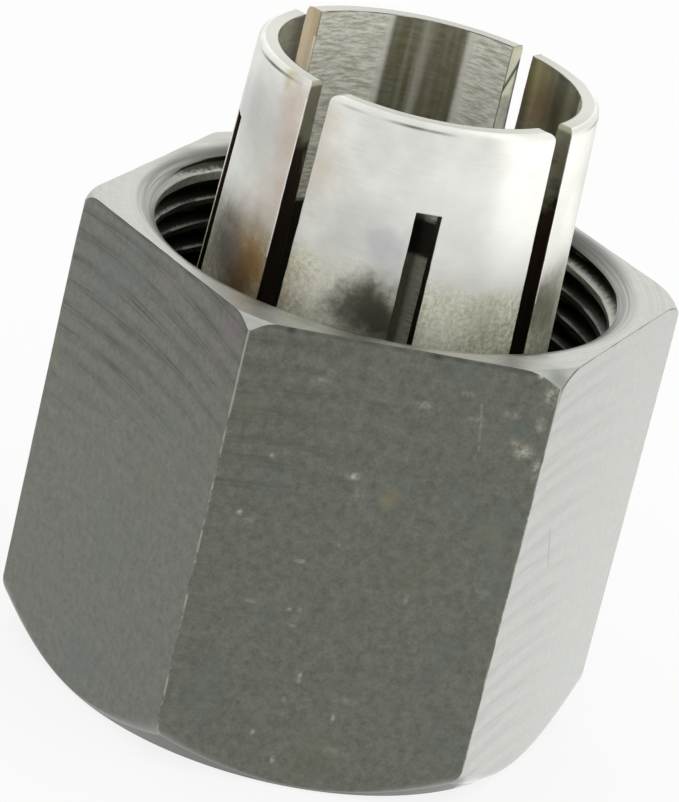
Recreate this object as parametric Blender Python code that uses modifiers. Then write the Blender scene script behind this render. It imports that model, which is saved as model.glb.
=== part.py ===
# Router collet: a slotted, tapered collet held in its hexagonal clamping nut by a wire ring.
# The nut stands on its closed end. Its threaded mouth and the tapered tip of the collet point up, +Z.
# All lengths are in metres.

import bpy
import math

# Collet bore and walls
SHANK_DIAMETER = 0.0127
BORE_OPENING = 0.0001          # how much wider than the shank the relaxed bore stands
TIP_WALL = 0.00079
NOSE_WALL = 0.0005
NECK_WALL = 0.0010
FLANGE_WALL = 0.0022

# Collet lengths and angles
COLLET_LENGTH = 0.0261
TAPER_HALF_ANGLE = math.radians(2.0)
NOSE_HALF_ANGLE = math.radians(30.0)
FLANGE_LAND = 0.0004
RIM_ROUND = 0.00025
COLLET_TURN = math.radians(1.3)   # how far round the collet happens to stand in its nut

# Slots, sawn from both ends in turn
SLOT_WIDTH = 0.00105
SLOT_PAIRS = 2                 # saw cuts right across the collet, at each end
TIP_BRIDGE = 0.0037            # length left whole at the tip by the slots from the nose
NOSE_BRIDGE = 0.0072           # length left whole at the nose by the slots from the tip

# Fits
SEAT_GAP = 0.0003              # between seated faces
COLLET_PLAY = 0.0008           # axial travel of the collet before its flange meets the ring

# Wire ring
RING_WIRE = 0.0010
RING_CATCH = 0.0004            # how far the ring reaches in over the flange
RING_OPENING = math.radians(34.0)

# Nut
END_HOLE_CLEARANCE = 0.0006    # between the shank and the hole in the closed end
END_HOLE_BREAK = 0.0003
END_WALL = 0.0015
LIP_LENGTH = 0.0007
THREAD_SHOULDER = 0.0009       # step from the lip out to the thread's crests
THREAD_DEPTH = 0.00065
RELIEF_LENGTH = 0.0016
THREAD_LENGTH = 0.00904
MOUTH_DEPTH = 0.0010
MOUTH_FLARE = 0.0007
FLAT_WALL = 0.0006             # between the mouth and a wrench flat
CORNER_BREAK = 0.0007          # 45 degree break of the corners at the mouth
END_FACE_INSET = 0.00019       # how far the closed end's round face lies inside the flats
END_CHAMFER_ANGLE = math.radians(42.0)

# Facets
ROUND_STEPS = 96
WIRE_POINTS = 45
WIRE_RESOLUTION = 2
CUTTER_OVERRUN = 0.001
SMOOTH_ANGLE = math.radians(30.0)

# Radii worked out from the walls and fits
bore_radius = (SHANK_DIAMETER + BORE_OPENING) / 2
tip_radius = bore_radius + TIP_WALL
nose_radius = bore_radius + NOSE_WALL
neck_radius = bore_radius + NECK_WALL
flange_radius = bore_radius + FLANGE_WALL
ring_radius = flange_radius - RING_CATCH + RING_WIRE / 2
groove_radius = ring_radius + RING_WIRE / 2 + SEAT_GAP
end_hole_radius = SHANK_DIAMETER / 2 + END_HOLE_CLEARANCE
lip_radius = flange_radius + SEAT_GAP
crest_radius = lip_radius + THREAD_SHOULDER
root_radius = crest_radius + THREAD_DEPTH
mouth_radius = crest_radius + MOUTH_FLARE
flat_distance = mouth_radius + FLAT_WALL
corner_radius = flat_distance / math.cos(math.radians(30.0))

# Heights above the closed end's face
nose_height = (END_WALL + (nose_radius - end_hole_radius) / math.tan(NOSE_HALF_ANGLE)
               + SEAT_GAP / math.sin(NOSE_HALF_ANGLE))
nose_cone_length = (flange_radius - nose_radius) / math.tan(NOSE_HALF_ANGLE)
neck_start = nose_cone_length + FLANGE_LAND
neck_length = COLLET_PLAY + SEAT_GAP + RING_WIRE + SEAT_GAP
ring_height = nose_height + neck_start + COLLET_PLAY + SEAT_GAP + RING_WIRE / 2
seat_end = END_WALL + (lip_radius - end_hole_radius) / math.tan(NOSE_HALF_ANGLE)
groove_bottom = ring_height - RING_WIRE / 2 - SEAT_GAP
groove_top = ring_height + RING_WIRE / 2 + SEAT_GAP
lip_top = groove_top + LIP_LENGTH
thread_start = lip_top + RELIEF_LENGTH
thread_end = thread_start + THREAD_LENGTH
nut_height = thread_end + MOUTH_DEPTH


def clear_scene():
    for item in list(bpy.data.objects):
        bpy.data.objects.remove(item, do_unlink=True)


def new_collection(name):
    group = bpy.data.collections.new(name)
    bpy.context.scene.collection.children.link(group)
    return group


def move_to(item, group):
    for owner in list(item.users_collection):
        owner.objects.unlink(item)
    group.objects.link(item)


def steel(name, colour, roughness):
    material = bpy.data.materials.new(name)
    material.use_nodes = True
    shader = material.node_tree.nodes["Principled BSDF"]
    shader.inputs["Base Color"].default_value = (*colour, 1.0)
    shader.inputs["Metallic"].default_value = 1.0
    shader.inputs["Roughness"].default_value = roughness
    return material


def turned(name, profile, group, ring_shaped=False):
    # Turns a profile of (radius, height) points, which runs down its outer side, about Z.
    # A ring-shaped profile is closed on itself; any other starts and ends on the axis.
    points = [(radius, 0.0, height) for radius, height in profile]
    edges = [(i, i + 1) for i in range(len(points) - 1)]
    if ring_shaped:
        edges.append((len(points) - 1, 0))
    mesh = bpy.data.meshes.new(name)
    mesh.from_pydata(points, edges, [])
    item = bpy.data.objects.new(name, mesh)
    group.objects.link(item)
    screw = item.modifiers.new("Turn", "SCREW")
    screw.axis = "Z"
    screw.angle = math.tau
    screw.steps = ROUND_STEPS
    screw.render_steps = ROUND_STEPS
    screw.use_merge_vertices = True
    screw.merge_threshold = 0.000001
    return item


def box(name, size, centre, turn, group):
    bpy.ops.mesh.primitive_cube_add(size=1.0, location=centre, rotation=(0.0, 0.0, turn))
    item = bpy.context.object
    item.name = name
    item.scale = size
    bpy.ops.object.transform_apply(location=False, rotation=False, scale=True)
    move_to(item, group)
    return item


def as_cutter(item):
    item.hide_render = True
    item.display_type = "WIRE"
    return item


def combine(item, other, operation):
    step = item.modifiers.new(other.name, "BOOLEAN")
    step.operation = operation
    step.solver = "EXACT"
    step.object = other


def finish(item, material):
    # Turns the modifiers into a plain mesh, shades it smooth and keeps its edges sharp.
    bpy.context.view_layer.update()
    shaped = item.evaluated_get(bpy.context.evaluated_depsgraph_get())
    mesh = bpy.data.meshes.new_from_object(shaped)
    item.modifiers.clear()
    item.data = mesh
    mesh.name = item.name
    mesh.materials.clear()
    mesh.materials.append(material)
    mesh.shade_smooth()
    mesh.set_sharp_from_angle(angle=SMOOTH_ANGLE)


def nut_envelope(group):
    # The turned shape that chamfers the hexagon: a 45 degree break of the corners at the mouth,
    # and a cone at the closed end that runs from a round face out past the corners.
    outer = corner_radius + CUTTER_OVERRUN
    end_radius = flat_distance - END_FACE_INSET
    top_radius = corner_radius - CORNER_BREAK
    profile = [
        (0.0, nut_height),
        (top_radius, nut_height),
        (outer, nut_height - (outer - top_radius)),
        (outer, (outer - end_radius) * math.tan(END_CHAMFER_ANGLE)),
        (end_radius, 0.0),
        (0.0, 0.0),
    ]
    return as_cutter(turned("nut_envelope", profile, group))


def nut_bore(group):
    # Everything inside the nut, from the flared mouth down to the shank's hole: the threaded bore
    # at its crests, the relief, the lip, the ring's groove and the 30 degree seat.
    flare_slope = MOUTH_FLARE / MOUTH_DEPTH
    profile = [
        (0.0, nut_height + CUTTER_OVERRUN),
        (mouth_radius + flare_slope * CUTTER_OVERRUN, nut_height + CUTTER_OVERRUN),
        (crest_radius, thread_end),
        (crest_radius, thread_start + THREAD_DEPTH),
        (root_radius, thread_start),
        (root_radius, lip_top),
        (lip_radius, lip_top),
        (lip_radius, groove_top),
        (groove_radius, groove_top),
        (groove_radius, groove_bottom),
        (lip_radius, groove_bottom),
        (lip_radius, seat_end),
        (end_hole_radius, END_WALL),
        (end_hole_radius, END_HOLE_BREAK),
        (end_hole_radius + END_HOLE_BREAK + CUTTER_OVERRUN, -CUTTER_OVERRUN),
        (0.0, -CUTTER_OVERRUN),
    ]
    return as_cutter(turned("nut_bore", profile, group))


def collet_nut(group, cutters, material):
    depth = nut_height + 2 * CUTTER_OVERRUN
    bpy.ops.mesh.primitive_cylinder_add(vertices=6, radius=corner_radius, depth=depth,
                                        location=(0.0, 0.0, nut_height / 2),
                                        rotation=(0.0, 0.0, math.radians(30.0)))
    nut = bpy.context.object
    nut.name = "collet_nut"
    bpy.ops.object.transform_apply(location=True, rotation=True, scale=False)
    move_to(nut, group)
    combine(nut, nut_envelope(cutters), "INTERSECT")
    combine(nut, nut_bore(cutters), "DIFFERENCE")
    finish(nut, material)
    return nut


def rim_arc():
    # The rounded outer edge of the collet's tip, from the end face round to the taper.
    count = 4
    sweep = math.pi / 2 - TAPER_HALF_ANGLE
    centre = (tip_radius - RIM_ROUND, COLLET_LENGTH - RIM_ROUND)
    points = []
    for i in range(count + 1):
        angle = math.pi / 2 - sweep * i / count
        points.append((centre[0] + RIM_ROUND * math.cos(angle), centre[1] + RIM_ROUND * math.sin(angle)))
    return points


def collet_profile():
    # Heights are above the nose's end face.
    shoulder_height = neck_start + neck_length
    shoulder_radius = tip_radius + (COLLET_LENGTH - shoulder_height) * math.tan(TAPER_HALF_ANGLE)
    return rim_arc() + [
        (shoulder_radius, shoulder_height),
        (neck_radius, shoulder_height),
        (neck_radius, neck_start),
        (flange_radius, neck_start),
        (flange_radius, nose_cone_length),
        (nose_radius, 0.0),
        (bore_radius, 0.0),
        (bore_radius, COLLET_LENGTH),
    ]


def slot_cutters(group):
    # Saw cuts right across the collet. Those from the tip stop above the neck, and those from the
    # nose stop short of the tip, half a spacing round from the others.
    reach = 2 * (flange_radius + CUTTER_OVERRUN)
    spacing = math.pi / SLOT_PAIRS
    runs = {
        "tip_slot": (NOSE_BRIDGE, COLLET_LENGTH + CUTTER_OVERRUN, spacing / 2),
        "nose_slot": (-CUTTER_OVERRUN, COLLET_LENGTH - TIP_BRIDGE, 0.0),
    }
    cuts = []
    for name, (low, high, start) in runs.items():
        for i in range(SLOT_PAIRS):
            cut = box(f"{name}_{i + 1}", (reach, SLOT_WIDTH, high - low),
                      (0.0, 0.0, (low + high) / 2), start + i * spacing, group)
            cuts.append(as_cutter(cut))
    return cuts


def collet(group, cutters, material):
    sleeve = turned("collet", collet_profile(), group, ring_shaped=True)
    for cut in slot_cutters(cutters):
        combine(sleeve, cut, "DIFFERENCE")
    finish(sleeve, material)
    return sleeve


def retaining_ring(group, material):
    # A round wire bent into a circle that is open on one side.
    curve = bpy.data.curves.new("retaining_ring", "CURVE")
    curve.dimensions = "3D"
    curve.bevel_depth = RING_WIRE / 2
    curve.bevel_resolution = WIRE_RESOLUTION
    curve.use_fill_caps = True
    wire = curve.splines.new("POLY")
    wire.points.add(WIRE_POINTS - 1)
    start = math.pi / 2 + RING_OPENING / 2
    sweep = math.tau - RING_OPENING
    for i, point in enumerate(wire.points):
        angle = start + sweep * i / (WIRE_POINTS - 1)
        point.co = (ring_radius * math.cos(angle), ring_radius * math.sin(angle), 0.0, 1.0)
    ring = bpy.data.objects.new("retaining_ring", curve)
    group.objects.link(ring)
    curve.materials.append(material)
    return ring


def build():
    clear_scene()
    parts = new_collection("router_collet")
    cutters = new_collection("router_collet_cutters")
    black_steel = steel("black_oxide_steel", (0.115, 0.115, 0.105), 0.48)
    ground_steel = steel("ground_spring_steel", (0.62, 0.61, 0.58), 0.28)
    wire_steel = steel("spring_wire", (0.32, 0.31, 0.29), 0.35)

    nut = collet_nut(parts, cutters, black_steel)
    ring = retaining_ring(parts, wire_steel)
    ring.parent = nut
    ring.location = (0.0, 0.0, ring_height)
    sleeve = collet(parts, cutters, ground_steel)
    sleeve.parent = ring
    sleeve.location = (0.0, 0.0, nose_height - ring_height)
    sleeve.rotation_euler = (0.0, 0.0, COLLET_TURN)


build()
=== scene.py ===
# Router collet in its hexagonal nut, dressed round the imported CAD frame.
# Lengths in the dictionaries are millimetres and angles are degrees; the meshes are in metres.

import math
from functools import partial

import bpy
import numpy as np
from mathutils import Matrix, Quaternion, Vector


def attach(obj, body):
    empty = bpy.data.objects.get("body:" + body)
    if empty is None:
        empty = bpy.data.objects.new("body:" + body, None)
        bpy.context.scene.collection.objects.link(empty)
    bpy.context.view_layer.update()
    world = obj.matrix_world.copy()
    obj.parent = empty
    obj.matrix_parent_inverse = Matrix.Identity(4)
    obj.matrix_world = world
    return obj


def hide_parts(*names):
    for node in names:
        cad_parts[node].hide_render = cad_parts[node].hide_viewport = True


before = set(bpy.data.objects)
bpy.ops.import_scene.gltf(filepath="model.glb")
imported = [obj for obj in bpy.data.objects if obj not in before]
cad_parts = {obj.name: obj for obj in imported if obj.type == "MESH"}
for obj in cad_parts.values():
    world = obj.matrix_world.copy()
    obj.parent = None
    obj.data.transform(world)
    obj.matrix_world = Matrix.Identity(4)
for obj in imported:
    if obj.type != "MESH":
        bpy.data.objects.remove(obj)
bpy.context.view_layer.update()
print("frame loaded:", sorted(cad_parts))

metre = 1000.0          # millimetres in a metre
sharpAngle = math.radians(28)


def linearColour(hexText):
    # sRGB to linear: up to 0.04045 c / 12.92, above it ((c + 0.055) / 1.055) to the power 2.4
    parts = np.array([int(hexText[i:i + 2], 16) for i in (1, 3, 5)]) / 255
    curved = np.where(parts <= 0.04045, parts / 12.92, ((parts + 0.055) / 1.055) ** 2.4)
    return (*curved, 1.0)


def addNode(tree, kind, *inputs, **settings):
    # one node. A second word in kind is its operation. The inputs fill its live sockets in order, or by name
    # from one dictionary: each is a plain value, a socket, or a node whose first live output is meant
    kind, *operation = kind.split()
    node = tree.nodes.new("ShaderNode" + kind)
    if operation:
        node.operation = operation[0]
    for name, value in settings.items():
        setattr(node, name, value)
    sockets = [s for s in node.inputs if s.enabled]
    if inputs and isinstance(inputs[0], dict):
        sockets = [next(s for s in sockets if s.name == name) for name in inputs[0]]
        inputs = inputs[0].values()
    for socket, value in zip(sockets, inputs):
        if isinstance(value, bpy.types.Node):
            value = next(s for s in value.outputs if s.enabled)
        if isinstance(value, bpy.types.NodeSocket):
            tree.links.new(value, socket)
        else:
            socket.default_value = value
    return node


def joinMasks(add, operation, first, *rest):
    # one operation carried along a row of masks, such as their product or the greatest of them
    for mask in rest:
        first = add("Math " + operation, first, mask)
    return first


def stretchedNoise(add, place, scale, detail, roughness=0.5):
    # noise of place x scale, drawn out along an axis where scale is small
    return add("TexNoise", add("VectorMath MULTIPLY", place, scale), 1.0, detail, roughness)


def layColours(add, colour, *layers):
    # each layer is a mask and the colour, in hex or from a node, that covers what lies under it there
    colours = [linearColour(c) if isinstance(c, str) else c for c in (colour, *(over for _, over in layers))]
    colour = colours[0]
    for (mask, _), over in zip(layers, colours[1:]):
        colour = add("Mix", mask, colour, over, data_type="RGBA")
    return colour


def closeMaterial(add, relief, strength, depth, sockets):
    # the surface follows relief, depth metres at a value of 1, by the share that strength gives
    bump = add("Bump", {"Strength": strength, "Distance": depth, "Height": relief})
    shader = add("BsdfPrincipled", {**sockets, "Normal": bump})
    add("OutputMaterial", {"Surface": shader})


def newMaterial(name):
    # an empty material, and addNode for its tree
    material = bpy.data.materials.new(name)
    material.use_nodes = True
    material.node_tree.nodes.clear()
    return material, partial(addNode, material.node_tree)


def smoothNoise(seed, place, period=512):
    # random numbers from -1 to 1 at whole places, joined by 3t^2 - 2t^3, and repeating after period places
    table = np.random.default_rng(seed).uniform(-1, 1, period)
    whole = np.floor(place).astype(int)
    part = place - whole
    part = part * part * (3 - 2 * part)
    return table[whole % period] * (1 - part) + table[(whole + 1) % period] * part


def polar(radius, angle, height):
    # (radius cos angle, radius sin angle, height), whole arrays at a time
    radius, angle, height = np.broadcast_arrays(radius, angle, height)
    return np.stack([radius * np.cos(angle), radius * np.sin(angle), height], axis=-1)


def putMesh(name, points, quads, finishes, materials, runs=None):
    # points in mm and quads as arrays; points that no quad uses are left out. runs is each point's UV place
    used, quads = np.unique(quads, return_inverse=True)
    quads = quads.reshape(-1, 4)
    points = points.reshape(-1, 3)[used] / metre
    mesh = bpy.data.meshes.new(name)
    mesh.vertices.add(len(points))
    mesh.vertices.foreach_set("co", points.ravel())
    mesh.loops.add(quads.size)
    mesh.loops.foreach_set("vertex_index", quads.ravel().astype(np.int32))
    mesh.polygons.add(len(quads))
    mesh.polygons.foreach_set("loop_start", np.arange(0, quads.size, 4, dtype=np.int32))
    for material in materials:
        mesh.materials.append(material)
    mesh.polygons.foreach_set("material_index", np.asarray(finishes, dtype=np.int32))
    if runs is not None:
        layer = mesh.uv_layers.new(name="run")
        layer.uv.foreach_set("vector", runs.reshape(-1, 2)[used][quads].ravel())
    mesh.update(calc_edges=True)
    mesh.validate()
    mesh.shade_smooth()
    mesh.set_sharp_from_angle(angle=sharpAngle)
    piece = bpy.data.objects.new(name, mesh)
    bpy.context.scene.collection.objects.link(piece)
    return piece


cameraView = {
    "azimuth": -9.246,
    "elevation": 21.797,
    "roll": -13.641,
    "distance": 203.54,
    "targetHeight": 13.32,
    "lens": 216.19,
    "sensorWidth": 36,
    "clip": (0.01, 20),
    "aimRight": -0.002545,
    "aimUp": -0.0017,
}


def placeCamera():
    # looks at a point on the Z axis from azimuth and elevation, rolled about its own line of sight
    azimuth, elevation, roll = (math.radians(cameraView[k]) for k in ("azimuth", "elevation", "roll"))
    back = Vector((math.sin(azimuth) * math.cos(elevation), -math.cos(azimuth) * math.cos(elevation),
                   math.sin(elevation)))
    level = (-back).cross(Vector((0, 0, 1))).normalized()
    upright = level.cross(-back)
    right = math.cos(roll) * level - math.sin(roll) * upright
    up = math.sin(roll) * level + math.cos(roll) * upright
    ahead = (-back + cameraView["aimRight"] * right + cameraView["aimUp"] * up).normalized()
    right = (right - right.dot(ahead) * ahead).normalized()
    turn = Matrix((right, right.cross(ahead), -ahead)).transposed().to_4x4()
    target = Vector((0, 0, cameraView["targetHeight"] / metre))
    place = Matrix.Translation(target + back * (cameraView["distance"] / metre))
    data = bpy.data.cameras.new("photoCamera")
    data.lens = cameraView["lens"]
    data.sensor_width = cameraView["sensorWidth"]
    data.clip_start, data.clip_end = cameraView["clip"]
    camera = bpy.data.objects.new("photoCamera", data)
    camera.matrix_world = place @ turn
    bpy.context.scene.collection.objects.link(camera)
    bpy.context.scene.camera = camera


placeCamera()
bpy.context.scene.view_settings.view_transform = "Standard"
print("camera placed")


studio = {
    "floorColour": "#f1f1ee",
    "floorPale": "#f6f6f4",
    "floorReach": 2500.0,      # from its middle to its edges
    "floorDrop": 0.02,         # how far it lies below the nut
    "darkMiddle": (0.0095, 0.0105),        # metres from the axis where its own glow begins and is full
    "floorShare": 0.15,        # share of the lamp light in what the camera and the metal see of the floor
    "worldLight": 0.85,
    # name: centre, point aimed at, turn about the aim, width, height, brightness (1 is white)
    "lamps": {
        "backSoftbox": ((0.05, 0.42, 0.20), (0, 0, 0.015), 0, 0.50, 0.26, 0.30),
        "overheadSoftbox": ((0.20, 0.04, 0.40), (0, 0, 0.015), 0, 0.36, 0.36, 0.40),
        "rightSoftbox": ((0.36, -0.20, 0.24), (0, 0, 0.015), 0, 0.30, 0.30, 0.48),
        "sideCard": ((0.0700, 0.0092, -0.00001), (0.0700, 0.0092, 1.0), 30, 0.092, 0.094, 1.02),
    },
}


def seenDirectly(add):
    # 1 for camera, glossy and transmission rays, 0 for those that only carry light
    path = add("LightPath")
    return joinMasks(add, "MAXIMUM",
                     *(path.outputs["Is %s Ray" % kind] for kind in ("Camera", "Glossy", "Transmission")))


def paperFloorMaterial():
    # white photographic paper, matt, faintly uneven
    material, add = newMaterial("matt_white_paper")
    place = add("TexCoord").outputs["Object"]
    colour = layColours(add, studio["floorColour"], (add("TexNoise", place, 9.0, 3.0), studio["floorPale"]))
    paper = add("BsdfPrincipled", {"Base Color": colour, "Roughness": 0.8})
    glow = add("Emission", {"Color": linearColour("#ffffff"), "Strength": 1.0})
    # no light gets under the nut, so the paper seen through its hole has no glow
    middle = add("VectorMath LENGTH", place)
    begins, full = studio["darkMiddle"]
    middle = add("MapRange", middle, begins, full)
    share = joinMasks(add, "MULTIPLY", seenDirectly(add), 1 - studio["floorShare"], middle)
    surface = add("MixShader", share, paper, glow)
    add("OutputMaterial", {"Surface": surface})
    return material


def layFloor():
    # a flat sheet, x and y on a grid, just under the nut
    count = 9
    across = np.linspace(-studio["floorReach"], studio["floorReach"], count)
    x, y = np.meshgrid(across, across)
    points = np.stack([x, y, np.full_like(x, -studio["floorDrop"])], axis=-1)
    corner = (np.arange(count - 1)[:, None] * count + np.arange(count - 1)).ravel()
    quads = np.stack([corner, corner + 1, corner + count + 1, corner + count], axis=-1)
    floor = putMesh("paper_floor", points, quads, np.zeros(len(quads)), [paperFloorMaterial()])


def lightWorld():
    world = bpy.data.worlds.new("studioWorld")
    world.use_nodes = True
    world.node_tree.nodes.clear()
    add = partial(addNode, world.node_tree)
    strength = add("Mix", seenDirectly(add), studio["worldLight"], 1.0)
    sky = add("Background", {"Color": linearColour("#ffffff"), "Strength": strength})
    add("OutputWorld", {"Surface": sky})
    bpy.context.scene.world = world


def hangLamps():
    # a soft lamp's energy is its brightness x pi x its area
    for name, (centre, aim, turn, width, height, brightness) in studio["lamps"].items():
        lamp = bpy.data.lights.new(name, "AREA")
        lamp.shape, lamp.size, lamp.size_y = "RECTANGLE", width, height
        lamp.energy = brightness * math.pi * width * height
        item = bpy.data.objects.new(name, lamp)
        item.visible_camera = False
        item.location = centre
        item.rotation_mode = "QUATERNION"
        towards = (Vector(aim) - Vector(centre)).to_track_quat("-Z", "Y")
        item.rotation_quaternion = towards @ Quaternion((0, 0, 1), math.radians(turn))
        bpy.context.scene.collection.objects.link(item)


layFloor()
lightWorld()
hangLamps()
print("floor and lamps in place")


def polarPlace(add):
    # Object coordinates in mm, with the distance from the Z axis and the angle round it
    place = add("TexCoord").outputs["Object"]
    point = add("VectorMath SCALE", place, metre)
    level = add("VectorMath MULTIPLY", point, (1, 1, 0))
    radius = add("VectorMath LENGTH", level)
    parts = add("SeparateXYZ", point)
    angle = add("Math ARCTAN2", parts.outputs["Y"], parts.outputs["X"])
    return point, radius, angle, parts.outputs["Z"]


def softSpots(add, point, spots):
    # each spot falls smoothly from its strength at its centre to 0 where |(point - centre) / reach| is 1;
    # where they meet the stronger wins. reach is a distance, or three, one for each axis
    masks = []
    for centre, reach, strength in spots:
        reach = np.broadcast_to(reach, 3)
        away = add("VectorMath MULTIPLY_ADD", point, 1 / reach, -np.asarray(centre) / reach)
        away = add("VectorMath LENGTH", away)
        masks.append(add("MapRange", away, 1.0, 0.0, 0.0, strength, interpolation_type="SMOOTHSTEP"))
    return joinMasks(add, "MAXIMUM", *masks)


def tintLayers(add, point, radius, rows):
    # a layer for each row of angle, height, reach, colour and strength, all at one distance from the axis
    return [(softSpots(add, point, [(polar(radius, math.radians(turn), up), reach, strength)]), tint)
            for turn, up, reach, tint, strength in rows]


def scratchMask(add, point, start, end, width):
    # 1 on the line from start to end, 0 at width from it: the nearest point is start + t (end - start), with
    # t = (point - start) . (end - start) / length^2, kept from 0 to 1
    start, way = np.array(start), np.array(end) - np.array(start)
    fromStart = add("VectorMath SUBTRACT", point, start)
    along = add("VectorMath DOT_PRODUCT", fromStart, way / (way @ way))
    along = add("Clamp", along)
    nearest = add("VectorMath SCALE", way, along)
    away = add("VectorMath DISTANCE", fromStart, nearest)
    return add("MapRange", away, width, 0.0, interpolation_type="SMOOTHSTEP")


def lineLayers(add, point, rows):
    # a layer for each line: either end as radius, angle and height, then half width and colour
    return [(scratchMask(add, point, *(polar(r, math.radians(turn), up) for r, turn, up in ends), width),
             tint) for *ends, width, tint in rows]


def turnedRings(add, point, run, detail):
    # a turning tool's rings: noise that changes fast with run, in mm, and slowly round the axis
    slow = add("VectorMath MULTIPLY", point, (0.12, 0.12, 0.0))
    slow = add("SeparateXYZ", slow)
    place = add("CombineXYZ", slow.outputs["X"], slow.outputs["Y"], add("Math MULTIPLY", run, 8.0))
    return add("TexNoise", place, 1.0, detail)


def onFlat(turn, along, height):
    # a place on the wrench flat that faces the angle turn: distance x normal + along x tangent, and height
    flat, cosine, sine = nut["flatDistance"], math.cos(math.radians(turn)), math.sin(math.radians(turn))
    return flat * cosine - along * sine, flat * sine + along * cosine, height


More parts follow.
